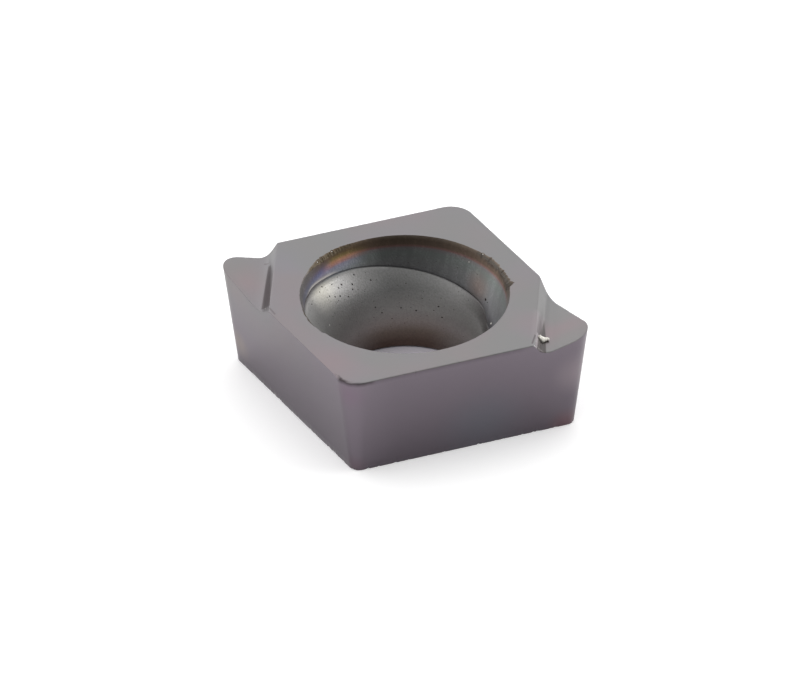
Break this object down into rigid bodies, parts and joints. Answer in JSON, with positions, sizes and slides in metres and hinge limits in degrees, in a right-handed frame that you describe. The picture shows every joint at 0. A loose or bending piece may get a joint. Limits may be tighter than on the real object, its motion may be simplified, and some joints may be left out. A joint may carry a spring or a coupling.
{
  "type": "indexable turning insert",
  "caption": "Small rhombic carbide turning insert with relieved flanks, a ground chip-breaker across each acute corner and a trumpet-seated screw hole.",
  "frame": {"origin": "centre of the insert's outline at its bottom face", "axes": "+Z from the bottom face to the rake face, +X through one acute cutting corner, the other on -X"},
  "size_m": [0.0062, 0.0054, 0.0019],
  "materials": {
    "coated_carbide": "satin"
  },
  "bodies": {
    "root": {"insert_body": "coated_carbide"}
  },
  "joints": []
}
